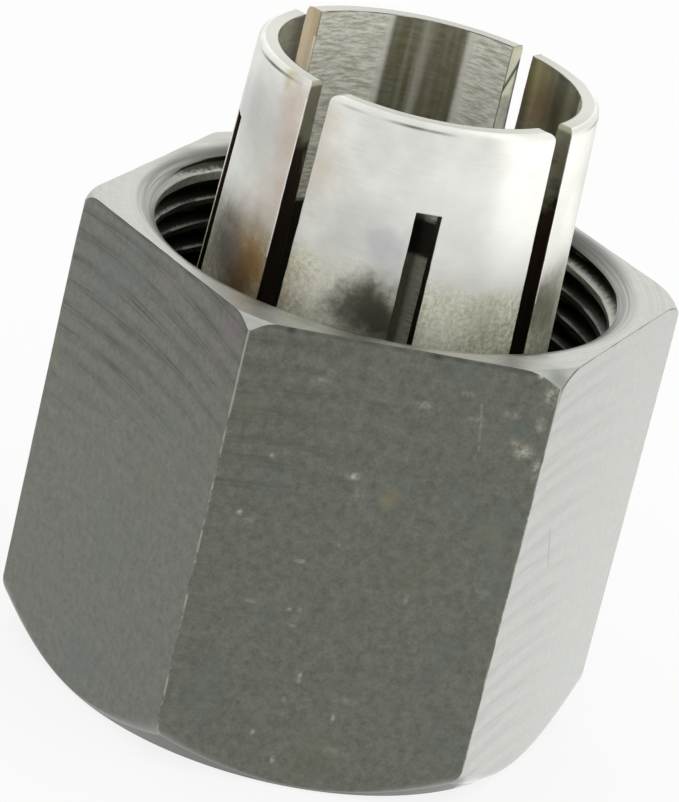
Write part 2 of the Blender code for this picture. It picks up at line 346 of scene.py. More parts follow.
nut = {
    "flatDistance": 11.1,      # from the axis to a wrench flat
    "height": 20.098,
    "cornerFillet": 0.07,
    "cornerWaver": (0.35, 1.3),            # share by which that round varies, and over what length
    "cornerDents": (0.2, 0.5, 0.8),        # how deep, how long, and where the noise has to be for one
    "cornerEase": (0.3, 17.0, 3.1),        # how much rounder they are at the open end, from where, how soon
    # how each corner of the open end is broken, from angle 0 on: radius where it begins, how far down it
    # goes, and 1 for a straight chamfer to 2 for a quarter ellipse
    "cornerBreaks": [(12.0, 0.85, 1.8), (12.1, 0.7, 1.6), (12.2, 0.62, 1.8), (12.3, 0.7, 2.0),
                     (12.33, 0.6, 1.25), (12.13, 0.68, 1.25)],
    "edgeBreak": 0.035,
    "endRound": 0.55,          # at the corners, between the closed end's chamfer and the flats
    "endRadius": 10.91,
    "endChamfer": 42.0,
    "mouthRadius": 10.85,
    "mouthRound": 1.0,
    "crestRadius": 9.8,
    "crestFlat": 0.12,         # half a crest's width and a flank's width, in pitches
    "flankWidth": 0.31,
    "threadDepth": 0.65,
    "threadPitch": 1.13,
    "threadPhase": 17.67,      # height of a crest at angle 0
    "threadTop": 19.96,        # the topmost groove has faded out here, over this length
    "threadFade": 0.25,
    "threadBottom": 10.058,
    "fineRows": (15.7, 0.055),             # the bore's rows where the thread can be seen: down to, and apart
    "coarseRows": (15.6, 0.13),            # and below them: from where, and how far apart
    # radius and height down through the ring's groove, the seat and the hole
    "inside": [(10.45, 8.458), (9.7, 8.458), (8.9, 8.458), (8.9, 7.758), (9.5, 7.758), (9.5, 7.0),
               (9.5, 6.158), (8.9, 6.158), (8.9, 5.5), (8.9, 4.877), (8.25, 3.751), (7.6, 2.626),
               (6.95, 1.5), (6.95, 0.9), (6.95, 0.3)],
    "holeRadius": 6.95,
    "holeBreak": 0.3,
    # colours and finish
    "oxideDark": "#46483e",
    "oxideLight": "#6c6e62",
    "markColour": "#282922",
    "bareSteelAndHighlight": "#bab8a8",
    "oilStain": "#57533a",
    "blueing": "#4c5a56",
    "turnedDark": "#989991",
    "turnedLight": "#b5b6ae",
    "flare": "#5c5d53",
    "flareShadeAndDirt": "#3a3b31",
    "threadShade": "#2b2c20",
    "threadCrest": "#b3b4a8",
    "lowerCrestShade": "#56554a",
    "topOil": "#4b4838",
    "edgeShadeAndNicks": "#25261b",
    "scratchDirt": "#24211a",
    "endDark": "#4b4c45",
    "endLight": "#5a5b53",
    "feedSpacing": 1.05,       # between the face mill's marks
    "millRadius": 36.0,
    "millOffset": -3.0,        # the top of the marks' arc, along each flat
    "roughness": 0.42,
    "oilFilmRoughness": 0.36,
    # oil on the open end: centre, reach, strength
    "topStains": [((-1.9, -10.6, 20.1), 2.4, 0.95), ((-4.0, -10.0, 20.1), 1.0, 0.4),
                  ((0.2, -10.8, 20.1), 1.1, 0.6), ((6.2, -10.7, 19.8), 1.1, 0.35),
                  ((5.5, -9.2, 20.1), 0.8, 0.5),
                  ((-8.0, 7.2, 20.0), (1.6, 1.1, 0.5), 0.4), ((-6.1, 8.8, 20.0), 1.5, 0.45),
                  ((-6.0, -9.0, 20.0), (1.5, 0.9, 0.6), 0.55)],
    # painted highlights on the corner breaks: angle, height, reach, colour, strength
    "cornerHighlights": [(300, 19.8, 0.75, "#7f8a87", 0.8), (240, 19.8, 0.6, "#a3aaa8", 0.5)],
    "lipLine": (10.46, 152, 4.4, 0.8),     # a dirty line inside the lip: its radius, angle, reach, strength
    "topEdgeShade": (19.86, 19.98),             # heights where painted shade begins and is full along the top edges
    "topEdgeShine": (20.03, 20.06, 0.4),         # and from here a painted highlight on the right flat's break begins and is full, with this strength
    "cornerWearAndHighlight": (6.33, 6.42, 0.7),       # bare steel, worn and also a painted highlight, begins and is full so far along a flat; its strength
    # a dirty scratch on the right flat and a pale one on the front: either end as the flat's angle, place
    # along it and height, then half width, and the pale one's strength
    "dirtyScratch": ((-30, -3.3, 12.35), (-30, -2.33, 10.38), 0.14),
    "paleScratch": ((-90, 3.42, 18.3), (-90, 3.75, 16.3), 0.1, 0.28),
    # dark marks in the nicks along the front flat's top edge: place along it, half width, half height,
    # strength
    "nicks": [(-4.75, 0.4, 0.14, 1.0), (-3.9, 0.4, 0.07, 0.6), (1.2, 0.5, 0.12, 1.0), (3.0, 0.5, 0.06, 0.6)],
    # angle of the flat, place along it, height, reach, colour, strength
    "flatStains": [(-90, 0.7, 13.6, 0.7, "#847a52", 0.35), (-90, 5.1, 12.9, 0.9, "#6c6c4c", 0.35),
                   (-150, 0.5, 19.1, (1.4, 1.4, 0.5), "#7d6662", 0.4), (-150, 5.2, 19.1, 1.1, "#64545a", 0.6),
                   (-150, 4.6, 17.9, 0.8, "#6a5a5e", 0.4), (-150, -6.1, 12.8, 0.9, "#6b6c48", 0.4),
                   (-90, -5.6, 16.6, 1.0, "#5f6450", 0.4), (-90, 5.2, 17.6, 0.8, "#4a5a56", 0.5)],
    "scuffSpread": 1.3,        # how much wider the rubs are drawn, since they fade outwards
    # rubs on the front flat: place along it, height, half width, half height, strength
    "scuffs": [
        (-3.07, 18.1, 0.5, 0.25, 0.35), (-2.85, 18.5, 0.3, 0.3, 0.3), (1.1, 17.85, 0.5, 0.2, 0.5),
        (2.77, 18.67, 0.35, 0.15, 0.4), (3.3, 17.65, 0.35, 0.15, 0.6), (4.7, 18.1, 0.45, 0.2, 0.55),
        (5.55, 16.6, 0.5, 0.35, 0.8), (5.1, 16.9, 0.3, 0.2, 0.6), (5.95, 17.9, 0.25, 0.4, 0.6),
        (6.1, 19.3, 0.35, 0.7, 0.8), (6.2, 16.0, 0.2, 0.6, 0.7), (-4.3, 14.55, 0.17, 0.15, 0.7),
        (-0.98, 14.28, 0.35, 0.2, 0.9), (-0.65, 13.5, 0.17, 0.3, 0.7), (-5.07, 11.87, 0.17, 0.15, 0.9),
        (-4.7, 11.6, 0.4, 0.2, 0.3), (-0.7, 11.2, 0.3, 0.2, 0.3), (-2.2, 10.2, 0.3, 0.12, 0.45),
        (-2.23, 8.06, 0.14, 0.14, 0.9), (-1.8, 8.06, 0.12, 0.12, 0.6), (-1.95, 7.35, 0.2, 0.1, 0.4),
        (-3.76, 8.1, 0.5, 0.1, 0.35), (-1.12, 5.06, 0.12, 0.3, 0.9), (-1.54, 4.0, 0.12, 0.14, 0.7),
        (0.6, 3.53, 0.12, 0.25, 0.6), (0.9, 4.4, 0.6, 0.25, 0.18), (-2.5, 2.3, 0.14, 0.14, 0.6),
        (-1.4, 1.2, 0.12, 0.2, 0.9), (1.1, 2.0, 1.0, 0.3, 0.18), (2.35, 9.37, 0.12, 0.3, 0.35),
        (5.3, 10.2, 0.4, 0.2, 0.25), (6.24, 19.55, 0.14, 0.2, 1.0), (5.48, 19.95, 0.2, 0.14, 1.0),
    ],
}


def milledFlatMaterial():
    # black-oxide steel, face milled: dull grey under a film of oil, with shallow arcs from the cutter's teeth
    # and bare steel where corners and scuffs have rubbed through, the corners' also a painted highlight;
    # painted shade along the top edges and a painted highlight on the right flat's top break
    flat = nut["flatDistance"]
    material, add = newMaterial("black_oxide_milled")
    point, _, angle, height = polarPlace(add)
    sector = math.pi / 3
    # the six flats fold onto one: across = flat distance x tan(angle folded to -30..30)
    folded = add("Math SUBTRACT", add("Math FLOORED_MODULO", angle, sector), sector / 2)
    across = add("Math MULTIPLY", add("Math TANGENT", folded), flat)
    number = add("Math FLOOR", add("Math DIVIDE", angle, sector))
    front, rightFlat = (add("Math COMPARE", number, side, 0.1) for side in (-2.0, -1.0))
    # along the cutter's path: height + (across - offset)^2 / (2 x mill radius), counted in feed spacings
    bow = add("Math POWER", add("Math SUBTRACT", across, nut["millOffset"]), 2.0)
    feed = add("Math ADD", height, add("Math DIVIDE", bow, 2 * nut["millRadius"]))
    path = add("CombineXYZ", across, feed, number)
    wander = stretchedNoise(add, path, (0.15, 0.6, 9.0), 2.0)
    count = add("Math MULTIPLY_ADD", feed, 1 / nut["feedSpacing"], wander)
    line = add("MapRange", add("Math PINGPONG", count, 0.5), 0.46, 0.06, interpolation_type="SMOOTHSTEP")
    tooth = stretchedNoise(add, path, (0.35, 2.6, 5.0), 4.0, 0.7)
    tooth = add("MapRange", tooth, 0.3, 0.62, 0.15)
    fine = add("MapRange", stretchedNoise(add, path, (0.3, 9.0, 5.0), 3.0), 0.38, 0.6, 0.2)
    # the marks fade down each flat to the right; the right flat keeps them on its left, and the front flat
    # only on its upper left
    downRight = add("Math MULTIPLY_ADD", across, -0.37, height)
    upper = add("MapRange", downRight, 11.5, 15.5, 0.15)
    leftPart = add("MapRange", across, -0.5, -4.5, 0.1, 0.45)
    leftSide = add("MapRange", across, 2.5, -3.5, 0.1, 0.85)
    region = add("Mix", front, upper, add("Math MULTIPLY", leftPart, upper))
    region = add("Mix", rightFlat, region, leftSide)
    line = joinMasks(add, "MULTIPLY", line, tooth, fine, region)
    grain = add("TexNoise", point, 3.2, 5.0, 0.8)
    grainTone = add("MapRange", grain, 0.3, 0.7)
    patches = add("TexNoise", point, 0.3, 3.0)
    oilAndReflection = add("MapRange", patches, 0.55, 0.8, 0.0, 0.3)
    blue = add("MapRange", patches, 0.42, 0.25, 0.0, 0.5)
    stains = [(softSpots(add, point, [(onFlat(turn, along, up), reach, strength)]), tint)
              for turn, along, up, reach, tint, strength in nut["flatStains"]]
    # painted shade in the break along the top edges, fainter on the right flat, and dark marks in the front
    # flat's nicks
    begins, full = nut["topEdgeShade"]
    topEdge = add("MapRange", height, begins, full)
    shadedEdge = add("MapRange", add("TexNoise", point, 0.8, 3.0), 0.4, 0.6, 0.1, 0.6)
    fainterOnRight = add("MapRange", rightFlat, 0.0, 1.0, 1.0, 0.15)
    nicks = softSpots(add, point, [((along, -flat, 20.0), (wide, 0.5, 2 * high), strength)
                                   for along, wide, high, strength in nut["nicks"]])
    shadedEdge = add("Math MAXIMUM", joinMasks(add, "MULTIPLY", shadedEdge, topEdge, fainterOnRight), nicks)
    *ends, wide = nut["dirtyScratch"]
    mark = scratchMask(add, point, *(onFlat(*end) for end in ends), wide)
    # bare steel along the upright corners, worn and also a painted highlight, broken up by noise and whole
    # near the top
    side = add("Math ABSOLUTE", across)
    begins, full, strength = nut["cornerWearAndHighlight"]
    side = add("MapRange", side, begins, full, 0.0, strength)
    whole = add("MapRange", height, 15.0, 18.0, 0.0, 0.15)
    broken = add("Math ADD", add("TexNoise", point, 1.3, 5.0, 0.7), whole)
    broken = add("MapRange", broken, 0.46, 0.6)
    # scuffs: soft smudges broken up by noise, and one upright scratch
    spread = nut["scuffSpread"]
    spots = [((along, -flat, up), (spread * wide, 0.5, spread * high), strength)
             for along, up, wide, high, strength in nut["scuffs"]]
    flecks = add("MapRange", add("TexNoise", point, 3.5, 5.0, 0.7), 0.42, 0.6, 0.12)
    scuffed = add("Math MULTIPLY", flecks, softSpots(add, point, spots))
    *ends, wide, strength = nut["paleScratch"]
    scratch = scratchMask(add, point, *(onFlat(*end) for end in ends), wide)
    scratch = joinMasks(add, "MULTIPLY", scratch, flecks, strength)
    scuffed = add("Math MULTIPLY", add("Math MAXIMUM", scuffed, scratch), 0.8)
    rare = add("MapRange", add("TexNoise", point, 2.6, 4.0, 0.7), 0.69, 0.79, 0.0, 0.4)
    # a painted highlight on the break along the right flat's top edge, in the bare steel colour
    begins, full, strength = nut["topEdgeShine"]
    rubbedAndShine = add("MapRange", height, begins, full, 0.0, strength)
    wornAndHighlight = joinMasks(add, "MAXIMUM", add("Math MULTIPLY", side, broken), scuffed, rare,
                     add("Math MULTIPLY", rubbedAndShine, rightFlat))
    colour = layColours(add, nut["oxideDark"], (grainTone, nut["oxideLight"]), (line, nut["markColour"]),
                        (oilAndReflection, nut["oilStain"]), (blue, nut["blueing"]), *stains, (shadedEdge, nut["edgeShadeAndNicks"]),
                        (mark, nut["scratchDirt"]), (wornAndHighlight, nut["bareSteelAndHighlight"]))
    rough = add("MapRange", grain, 0.0, 1.0, nut["roughness"] - 0.07, nut["roughness"] + 0.07)
    relief = add("Math MULTIPLY_ADD", grain, 0.35, add("Math MULTIPLY", line, -0.7))
    closeMaterial(add, relief, 0.4, 0.00002,
                  {"Base Color": colour, "Metallic": 1.0, "Roughness": rough, "Coat Weight": 1.0,
                   "Coat Roughness": nut["oilFilmRoughness"]})
    return material


def turnedOxideMaterial():
    # black-oxide steel, turned: fine rings round the axis, rubbed pale on the open end and on the thread's
    # crests, dusky in the flared mouth, with painted shade at the mouth's back, in the thread's grooves and
    # on the lower crests, and painted light on the flanks that face up
    material, add = newMaterial("black_oxide_turned")
    point, radius, angle, height = polarPlace(add)
    rings = turnedRings(add, point, add("Math ADD", radius, height), 2.0)
    grain = add("TexNoise", point, 3.0, 4.0, 0.6)
    tone = add("MapRange", add("Math ADD", rings, grain), 0.6, 1.4)
    flared = add("MapRange", radius, 10.85, 10.45)
    duskyRings = add("MapRange", rings, 0.44, 0.56, 0.95, 0.5)
    # painted shade in the mouth away from the front
    back = add("VectorMath DOT_PRODUCT", point, (0.18, 1.0, 0.0))
    back = add("MapRange", back, 2.5, 7.0, 0.0, 0.95)
    wide = add("MapRange", radius, 11.15, 10.75)
    # the crests are rubbed pale, with painted shade that darkens the lower ones
    crest = add("MapRange", radius, 9.93, 9.84)
    rubbedAndShine = add("MapRange", grain, 0.3, 0.6, 0.4)
    crestTone = add("MapRange", height, 18.2, 19.0)
    crestColour = layColours(add, nut["lowerCrestShade"], (crestTone, nut["threadCrest"]))
    # behind is how far the surface lies behind the flare and the crests, with a little chatter:
    # r - max(lip - sqrt(2 x round x drop), crest)
    drop = add("Math MULTIPLY", add("Math SUBTRACT", nut["height"], height), 2 * nut["mouthRound"])
    drop = add("Math SQRT", add("Math MAXIMUM", drop, 0.0))
    surface = add("Math MAXIMUM", add("Math SUBTRACT", nut["mouthRadius"], drop), nut["crestRadius"])
    chatter = stretchedNoise(add, point, (4.6, 4.6, 0.8), 2.0)
    behind = add("Math MULTIPLY_ADD", chatter, 0.2, add("Math SUBTRACT", radius, surface))
    within = add("MapRange", radius, 10.6, 10.48)
    # on the right, and in the topmost groove, the light falls on the flanks that face up: above, which is
    # (height - phase) / pitch - turns less its nearest whole number, is 0 on a crest and grows up the flank
    pitch = nut["threadPitch"]
    above = add("Math MULTIPLY_ADD", height, 1 / pitch, -nut["threadPhase"] / pitch)
    above = add("Math SUBTRACT", above, add("Math MULTIPLY", angle, 1 / math.tau))
    above = add("Math SUBTRACT", above, add("Math ROUND", above))
    above = add("Math MULTIPLY_ADD", chatter, 0.2, above)
    lit = add("MapRange", above, 0.48, 0.24, interpolation_type="SMOOTHSTEP")
    onFlank = add("MapRange", above, 0.1, 0.15)
    right = add("VectorMath DOT_PRODUCT", point, (1, 0, 0))
    right = add("MapRange", right, 3.0, 7.5, 0.0, 0.85)
    higher = add("MapRange", height, 17.4, 18.8, 0.3)
    topmost = add("MapRange", height, 19.25, 19.5, 0.0, 0.9)
    lit = joinMasks(add, "MULTIPLY", lit, onFlank,
                    add("Math MAXIMUM", add("Math MULTIPLY", right, higher), topmost))
    inGroove = add("MapRange", behind, 0.13, 0.19)
    # dark in the grooves where no light falls, and below the thread
    deep = add("MapRange", behind, 0.14, 0.24)
    deep = joinMasks(add, "MULTIPLY", deep, add("Math SUBTRACT", 1.0, lit), within)
    deep = add("Math MAXIMUM", deep, add("MapRange", height, 10.3, 10.0))
    # a dirty line inside the lip
    lipRadius, turn, reach, strength = nut["lipLine"]
    lip = add("Math ABSOLUTE", add("Math SUBTRACT", radius, lipRadius))
    lip = add("MapRange", lip, 0.12, 0.03, 0.0, strength)
    lipPlace = polar(lipRadius, math.radians(turn), nut["height"])
    lip = add("Math MULTIPLY", lip, softSpots(add, point, [(lipPlace, reach, 1.0)]))
    colour = layColours(add, nut["turnedDark"], (tone, nut["turnedLight"]),
                        (add("Math MULTIPLY", duskyRings, flared), nut["flare"]),
                        (add("Math MULTIPLY", back, wide), nut["flareShadeAndDirt"]),
                        (add("Math MULTIPLY", crest, rubbedAndShine), crestColour),
                        (joinMasks(add, "MULTIPLY", inGroove, lit, within), crestColour),
                        (deep, nut["threadShade"]), *tintLayers(add, point, 12.5, nut["cornerHighlights"]),
                        (lip, nut["flareShadeAndDirt"]), (softSpots(add, point, nut["topStains"]), nut["topOil"]))
    metal = add("MapRange", add("Math MULTIPLY", crest, crestTone), 0.0, 1.0, 1.0, 0.5)
    closeMaterial(add, rings, 0.3, 0.00002,
                  {"Base Color": colour, "Metallic": metal,
                   "Roughness": add("MapRange", grain, 0.0, 1.0, 0.30, 0.44),
                   "Coat Weight": add("MapRange", deep, 0.0, 1.0, 1.0, 0.1),
                   "Coat Roughness": nut["oilFilmRoughness"]})
    return material


def endOxideMaterial():
    # black-oxide steel on the closed end and its chamfer: turned, dark and almost dry
    material, add = newMaterial("black_oxide_end")
    point, radius, _, _ = polarPlace(add)
    rings = turnedRings(add, point, radius, 3.0)
    closeMaterial(add, rings, 0.3, 0.00002,
                  {"Base Color": layColours(add, nut["endDark"], (rings, nut["endLight"])), "Metallic": 1.0,
                   "Roughness": add("MapRange", rings, 0.0, 1.0, 0.38, 0.5), "Coat Weight": 0.35,
                   "Coat Roughness": nut["oilFilmRoughness"]})
    return material


def nutColumns():
    # angles round the nut, close together at the six corners
    near = [0, 0.14, 0.28, 0.45, 0.7, 1.05, 1.5, 2.1, 2.9]
    half = np.concatenate([near, np.linspace(4.1, 30, 20)])
    sector = np.concatenate([-half[::-1], half[1:-1]])
    return np.radians((np.arange(6)[:, None] * 60 + sector).ravel())


def hexRadius(angle, height):
    # flat: distance / cos(angle from the flat's middle). Corner: a round of radius f about a centre at
    # c = (distance - f) / cos 30 on the corner's line, r = c cos t + sqrt(f^2 - c^2 sin^2 t).
    # f wavers and has dents along the corner, and grows towards the open end.
    flat = nut["flatDistance"]
    corner = np.round(angle / math.radians(60)).astype(int)
    turn = np.abs(angle - corner * math.radians(60))
    along = height + 40.0 * (corner % 6)
    share, length = nut["cornerWaver"]
    fillet = nut["cornerFillet"] * (1 + share * smoothNoise(3, along / length))
    depth, length, rare = nut["cornerDents"]
    fillet = fillet + depth * np.clip(smoothNoise(4, along / length) - rare, 0, None)
    ease, start, length = nut["cornerEase"]
    fillet = fillet + ease * np.clip((height - start) / length, 0, 1) ** 2
    centre = (flat - fillet) / math.cos(math.radians(30))
    reach = math.radians(30) - np.arctan(centre * 0.5 / flat)
    rounded = centre * np.cos(turn) + np.sqrt(np.clip(fillet ** 2 - (centre * np.sin(turn)) ** 2, 0, None))
    straight = flat / np.cos(math.radians(30) - turn)
    return np.where(turn < reach, rounded, straight)


def mouthFlare(height):
    # a parabola with its top at the lip: drop = (lip - r)^2 / (2 x round),
    # so r = lip - sqrt(2 x round x drop)
    drop = np.clip(nut["height"] - height, 0, None)
    return np.maximum(nut["mouthRadius"] - np.sqrt(2 * nut["mouthRound"] * drop), nut["crestRadius"])


def boreRadius(angle, height):
    # the larger of the mouth's flare, the V thread and the relief below it. The thread's depth follows the
    # distance from the nearest crest, in pitches, of (height - phase) / pitch - angle / 2 pi. The groove gets
    # shallower and narrower where its own height comes near the top.
    turns = angle / math.tau
    place = (height - nut["threadPhase"]) / nut["threadPitch"] - turns
    fromCrest = np.abs(place - np.round(place))
    groove = nut["threadPhase"] + nut["threadPitch"] * (np.floor(place) + 0.5 + turns)
    depth = np.clip((fromCrest - nut["crestFlat"]) / nut["flankWidth"], 0, 1)
    depth = depth - 1 + np.clip((nut["threadTop"] - groove) / nut["threadFade"], 0, 1)
    thread = nut["crestRadius"] + nut["threadDepth"] * np.clip(depth, 0, 1)
    relief = nut["crestRadius"] + nut["threadDepth"] - (height - nut["threadBottom"])
    return np.maximum(np.maximum(thread, mouthFlare(height)), relief)


def makeNut():
    # a closed section, end face - chamfer - flats - top - bore - seat - hole, carried once round the axis
    angle = nutColumns()
    count = len(angle)
    milled, turned, ended = 0, 1, 2
    endRows, chamferRows, curveRows, wallRows, breakRows, topRows, ringRows = 4, 3, 5, 84, 2, 8, 4
    lowHeight, topZone, settle = 0.8, 0.4, 0.5     # where the corners' shape is taken, and evens out
    radii, heights, finishes = [], [], []

    def addRows(radius, height, finish):
        radius, height = np.broadcast_arrays(np.asarray(radius, float), np.asarray(height, float))
        if radius.ndim == 1:
            radius, height = radius[:, None], height[:, None]
        radii.append(np.broadcast_to(radius, (len(radius), count)))
        heights.append(np.broadcast_to(height, (len(height), count)))
        finishes.extend([np.full(count, finish)] * len(radius))

    def share(steps):
        return (np.arange(1, steps + 1) / steps)[:, None]

    slope = math.tan(math.radians(nut["endChamfer"]))
    addRows(np.linspace(nut["holeRadius"] + nut["holeBreak"], nut["endRadius"], endRows), 0.0, ended)
    low = hexRadius(angle, np.full(count, lowHeight))
    chamferTop = (low - nut["endRadius"]) * slope
    ease = nut["endRound"] * np.clip((low - nut["endRadius"]) / 1.7, 0.1, 1)
    out = nut["endRadius"] + share(chamferRows) * (low - ease - nut["endRadius"])
    addRows(out, (out - nut["endRadius"]) * slope, ended)
    # then a quadratic curve from chamfer to flat: r = flat - e (1 - t)^2,
    # z = edge - slope e (1 - t)^2 + e t^2
    part = share(curveRows)
    addRows(low - ease * (1 - part) ** 2, chamferTop + ease * (part ** 2 - slope * (1 - part) ** 2), milled)
    wallFoot = chamferTop + ease
    # the top edge: a small uneven break along the flats, and rounded corners
    nearTop = hexRadius(angle, np.full(count, nut["height"] - topZone))
    breakSize = nut["edgeBreak"] * (1 + 0.4 * smoothNoise(11, np.degrees(angle) % 360 / 3.0, 120))
    corner = np.round(angle / math.radians(60)).astype(int) % 6
    cornerStart, cornerFall, roundness = np.array(nut["cornerBreaks"])[corner].T
    cornerEnd = nut["flatDistance"] / math.cos(math.radians(30))

    def topHeight(radius):
        # height - fall x (1 - (1 - t^n)^(1 / n)), with t the share of the way from where the break begins
        part = np.clip((radius - cornerStart) / (cornerEnd - cornerStart), 0, 1)
        return nut["height"] - cornerFall * (1 - (1 - part ** roundness) ** (1 / roundness))

    flatTop = topHeight(nearTop) - breakSize
    height = wallFoot + share(wallRows) * (flatTop - wallFoot)
    blend = np.clip((height - wallFoot) / settle, 0, 1) * np.clip((flatTop - height) / settle, 0, 1)
    wall = hexRadius(angle, height)
    wall = np.where(height < 5, low + (wall - low) * blend, nearTop + (wall - nearTop) * blend)
    addRows(wall, height, milled)
    edge = nearTop - breakSize
    part = share(breakRows)
    addRows(nearTop - part * breakSize, flatTop + part * (topHeight(edge) - flatTop), milled)
    inwards = edge + share(topRows) * (np.minimum(cornerStart, edge) - 0.2 - edge)
    addRows(inwards, topHeight(inwards), turned)
    # the flat ring, and a round into the mouth
    addRows(inwards[-1] + share(ringRows) * (nut["mouthRadius"] - inwards[-1]), nut["height"], turned)
    # the bore, in rows that follow the flare, t^2 / 2 down for even t, then in fine and in coarse ones
    seenTo, fineStep = nut["fineRows"]
    unseen, coarseStep = nut["coarseRows"]
    fine = np.concatenate([nut["height"] - 0.5 * np.linspace(0.07, 0.77, 9) ** 2,
                           np.arange(nut["height"] - 0.35, seenTo, -fineStep)])
    coarse = np.arange(unseen, nut["threadBottom"], -coarseStep)
    down = np.concatenate([fine, coarse, [nut["threadBottom"]]])[:, None]
    bore = boreRadius(angle, down)
    addRows(bore, np.broadcast_to(down, bore.shape), turned)
    inside = np.array(nut["inside"])
    addRows(inside[:, 0], inside[:, 1], turned)

    radius, height = np.concatenate(radii), np.concatenate(heights)
    rows = len(radius)
    points = polar(radius, angle[None, :], height)
    i, j = np.meshgrid(np.arange(rows), np.arange(count), indexing="ij")
    nextRow, nextColumn = (i + 1) % rows, (j + 1) % count
    quads = np.stack([i * count + j, i * count + nextColumn, nextRow * count + nextColumn,
                      nextRow * count + j], axis=-1).reshape(-1, 4)
    faceFinish = np.roll(finishes, -1, axis=0).ravel()
    piece = putMesh("nut_steel", points, quads, faceFinish,
                    [milledFlatMaterial(), turnedOxideMaterial(), endOxideMaterial()])
    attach(piece, "nut")
    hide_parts("collet_nut")


makeNut()
print("nut made")


